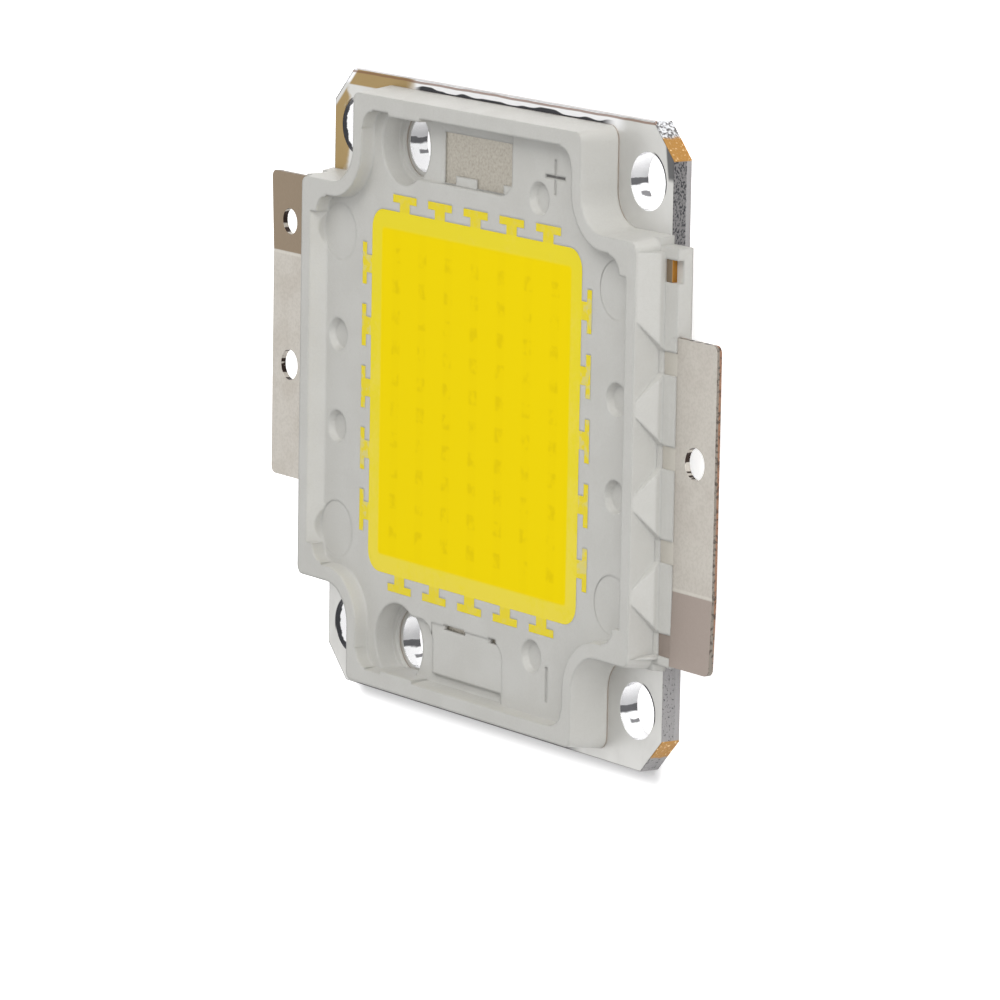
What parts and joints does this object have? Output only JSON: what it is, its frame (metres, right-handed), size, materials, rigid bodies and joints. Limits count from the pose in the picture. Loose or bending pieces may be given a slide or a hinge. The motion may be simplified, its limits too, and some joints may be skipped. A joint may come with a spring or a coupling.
{
  "type": "cob led module",
  "caption": "Chip-on-board LED module: dies under a square of yellow silicone in a moulded frame on a metal base plate, with two flat solder tabs.",
  "frame": {"origin": "middle of the base plate's back face, which is also the middle of the module's footprint", "axes": "+Z from the back face towards the light, +X from the anode tab to the cathode tab, +Y along the plate's 40 mm side"},
  "size_m": [0.0494, 0.04, 0.0039],
  "materials": {
    "plate": "satin nickel plating over copper",
    "plastic": "matte moulded",
    "lead": "dull tinned copper",
    "phosphor": "smooth silicone",
    "die": "polished",
    "wire": "bright"
  },
  "bodies": {
    "root": {"base_plate": "plate", "frame": "plastic", "anode_lead": "lead", "cathode_lead": "lead", "phosphor": "phosphor", "die_string_1": "die", "die_string_2": "die", "die_string_3": "die", "die_string_4": "die", "die_string_5": "die", "die_string_6": "die", "die_string_7": "die", "bond_wires_1": "wire", "bond_wires_2": "wire", "bond_wires_3": "wire", "bond_wires_4": "wire", "bond_wires_5": "wire", "bond_wires_6": "wire", "bond_wires_7": "wire"}
  },
  "joints": []
}
